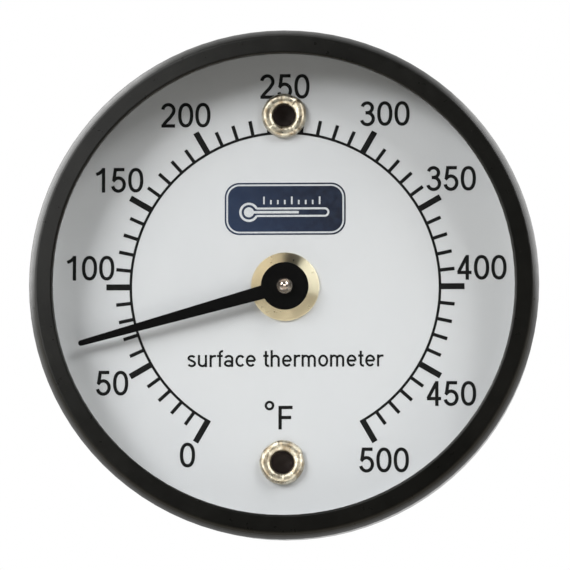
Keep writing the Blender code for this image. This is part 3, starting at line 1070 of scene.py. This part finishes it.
def facing(az_deg, elevation_deg):
    """Direction from the dial. Azimuth runs from 3 o'clock, elevation is up from the dial's plane."""
    az = math.radians(az_deg)
    el = math.radians(elevation_deg)
    return Vector((math.cos(el) * math.cos(az), -math.sin(el), math.cos(el) * math.sin(az)))


def soft_box(name, group, az_deg, elevation_deg, distance, width, height, radiance, colour):
    """A soft box aimed at the dial: its width runs round the dial, its height towards the dial's axis."""
    out = facing(az_deg, elevation_deg)
    up = facing(az_deg, elevation_deg + 90)
    data = bpy.data.lights.new(name, "AREA")
    data.shape = "RECTANGLE"
    data.size = width
    data.size_y = height
    data.energy = radiance * math.pi * width * height
    data.color = colour
    lamp = bpy.data.objects.new(name, data)
    lamp.matrix_world = Matrix((up.cross(out), up, out)).transposed().to_4x4()
    lamp.location = out * distance
    lamp.visible_camera = False
    lamp.light_linking.receiver_collection = group
    bpy.context.scene.collection.objects.link(lamp)


def high_sun(group):
    """Even light from above that keeps the floor as pale as the paper behind it."""
    data = bpy.data.lights.new("high_sun", "SUN")
    data.energy = SUN_STRENGTH
    data.angle = math.radians(SUN_SPREAD_DEG)
    lamp = bpy.data.objects.new("high_sun", data)
    lamp.light_linking.receiver_collection = group
    bpy.context.scene.collection.objects.link(lamp)


NEUTRAL = (1.0, 1.0, 1.0)
CREAM = (1.0, 0.97, 0.90)
WARM = (1.0, 0.94, 0.82)

# azimuth, elevation, distance, width, height, radiance and colour of each soft box
DIAL_LAMPS = {
    "dial_left": (141, 38, 1.0, 0.34, 0.56, 15.6, NEUTRAL),
    "dial_right": (50, 31, 1.0, 0.34, 0.36, 13.2, NEUTRAL),
    "dial_right_low": (68, 18, 1.0, 0.26, 0.16, 18.5, NEUTRAL),
    "dial_right_side": (18, 22, 1.0, 0.40, 0.24, 3.8, NEUTRAL),
    "dial_fill_right": (337, 24, 0.16, 0.08, 0.08, 1.5, NEUTRAL),
    "dial_fill_left": (203, 24, 0.16, 0.08, 0.08, 1.1, NEUTRAL),
    "dial_low": (270, 45, 0.09, 0.14, 0.10, 0.82, (1.0, 0.99, 0.96)),
}
RING_LAMPS = {
    "ring_left": (150, -10, 0.3, 0.32, 0.32, 4.1, NEUTRAL),
    "ring_left_high": (150, 42, 0.3, 0.32, 0.28, 1.6, NEUTRAL),
    "ring_right": (27, -17, 0.3, 0.25, 0.31, 3.0, NEUTRAL),
}
FLANGE_LAMPS = {
    "flange_left": (141, 33, 0.5, 0.74, 0.50, 3.3, (1.0, 0.90, 0.74)),
    "flange_right": (27, 33, 0.5, 0.50, 0.50, 6.6, (0.97, 1.0, 1.0)),
    "flange_low_left": (235, 42, 0.1, 0.13, 0.09, 2.3, WARM),
    "flange_low_right": (306, 42, 0.1, 0.13, 0.09, 2.3, WARM),
}
RIVET_LAMPS = {
    "rivet_left": (148, 40, 0.5, 0.70, 0.60, 2.9, CREAM),
    "rivet_right": (27, 33, 0.5, 0.50, 0.50, 3.0, CREAM),
    "rivet_low": (270, 50, 0.09, 0.14, 0.08, 1.6, (1.0, 0.95, 0.85)),
}
PIN_LAMPS = {
    "pin_above": (90, 50, 0.3, 0.40, 0.24, 1.4, (1.0, 0.92, 0.85)),
    "pin_left": (212, 64, 0.3, 0.022, 0.022, 360.0, NEUTRAL),
    "pin_right": (328, 64, 0.3, 0.022, 0.022, 360.0, NEUTRAL),
}


def lighting():
    """Each kind of surface has lamps of its own, and the dial's lamps also light all the rest."""
    ring = nodes["bezel"]
    pin = nodes["arbor"]
    flange = nodes["bushing"]
    for_ring = light_group("for_ring", [ring])
    for_pin = light_group("for_pin", [pin])
    for_flange = light_group("for_flange", [flange])
    for_rivets = light_group("for_rivets", rolled)
    floor = stage_floor()
    for_floor = light_group("for_floor", [floor])
    for_dial = light_group("for_dial", [floor, ring, pin, flange, *rolled], "EXCLUDE")
    for group, lamps in (
        (for_dial, DIAL_LAMPS),
        (for_ring, RING_LAMPS),
        (for_flange, FLANGE_LAMPS),
        (for_rivets, RIVET_LAMPS),
        (for_pin, PIN_LAMPS),
    ):
        for name, settings in lamps.items():
            soft_box(name, group, *settings)
    high_sun(for_floor)


# ---------------------------------------------------------------- surroundings
FRONT_DARK = (0.018, 0.018, 0.018)     # what the glass mirrors towards the camera
TOP_GLOW = (0.085, 0.085, 0.085)
LOW_GLOW = (0.42, 0.37, 0.29)
PAPER = (1.2, 1.2, 1.2)                # white paper behind the object
LEVEL_FADE = (-0.25, 0.25)             # height over which the low glow turns to the top glow
FRONT_FADE = (-0.72, -0.45)            # depth over which the dark in front turns to the glow
PAPER_FADE = (0.05, 0.25)              # depth over which the glow turns to the paper


def surroundings():
    """White for the camera. For light: dark in front, dim above, warmer below and white behind."""
    world = bpy.data.worlds.new("studio")
    bpy.context.scene.world = world
    world.use_nodes = True
    nt = world.node_tree

    def ramp(value, low, high):
        node = nt.nodes.new("ShaderNodeMapRange")
        node.interpolation_type = "SMOOTHSTEP"
        nt.links.new(value, node.inputs["Value"])
        node.inputs["From Min"].default_value = low
        node.inputs["From Max"].default_value = high
        return node.outputs["Result"]

    def blend_of(factor, a, b):
        node = nt.nodes.new("ShaderNodeMix")
        node.data_type = "RGBA"
        inputs = live(node.inputs)
        nt.links.new(factor, inputs[0])
        for socket, value in zip(inputs[1:], (a, b)):
            if isinstance(value, tuple):
                socket.default_value = (*value, 1.0)
            else:
                nt.links.new(value, socket)
        return live(node.outputs)[0]

    where = nt.nodes.new("ShaderNodeTexCoord").outputs["Generated"]
    axes = nt.nodes.new("ShaderNodeSeparateXYZ")
    nt.links.new(where, axes.inputs[0])
    around = blend_of(ramp(axes.outputs["Z"], *LEVEL_FADE), LOW_GLOW, TOP_GLOW)
    sides = blend_of(ramp(axes.outputs["Y"], *FRONT_FADE), FRONT_DARK, around)
    everything = blend_of(ramp(axes.outputs["Y"], *PAPER_FADE), sides, PAPER)
    fill = nt.nodes["Background"]
    nt.links.new(everything, fill.inputs["Color"])
    seen = nt.nodes.new("ShaderNodeBackground")
    seen.inputs["Color"].default_value = (1, 1, 1, 1)
    path = nt.nodes.new("ShaderNodeLightPath")
    mix = nt.nodes.new("ShaderNodeMixShader")
    nt.links.new(path.outputs["Is Camera Ray"], mix.inputs[0])
    nt.links.new(fill.outputs[0], mix.inputs[1])
    nt.links.new(seen.outputs[0], mix.inputs[2])
    nt.links.new(mix.outputs[0], nt.nodes["World Output"].inputs["Surface"])


# ---------------------------------------------------------------- camera
SENSOR = 36.0              # mm, as the lens's length
FROM_RIGHT_DEG = 2.7
FROM_BELOW_DEG = 4.5
DISTANCE = 0.60
VIEW_WIDTH = 0.05877       # seen across the picture at the target
TARGET = Vector((0.0, -0.0066, 0.00015))


def camera():
    """A long lens, a little to the right of the dial's axis and below it."""
    data = bpy.data.cameras.new("camera")
    data.sensor_width = SENSOR
    data.lens = SENSOR * DISTANCE / VIEW_WIDTH
    data.clip_start = 0.01
    data.clip_end = 50.0
    right = math.radians(FROM_RIGHT_DEG)
    below = math.radians(FROM_BELOW_DEG)
    out = Vector((math.sin(right), -math.cos(right) * math.cos(below), -math.sin(below)))
    cam = bpy.data.objects.new("camera", data)
    cam.location = TARGET + out * DISTANCE
    cam.rotation_euler = (-out).to_track_quat("-Z", "Y").to_euler()
    bpy.context.scene.collection.objects.link(cam)
    bpy.context.scene.camera = cam


lighting()
surroundings()
camera()
bpy.context.scene.view_settings.view_transform = "Standard"
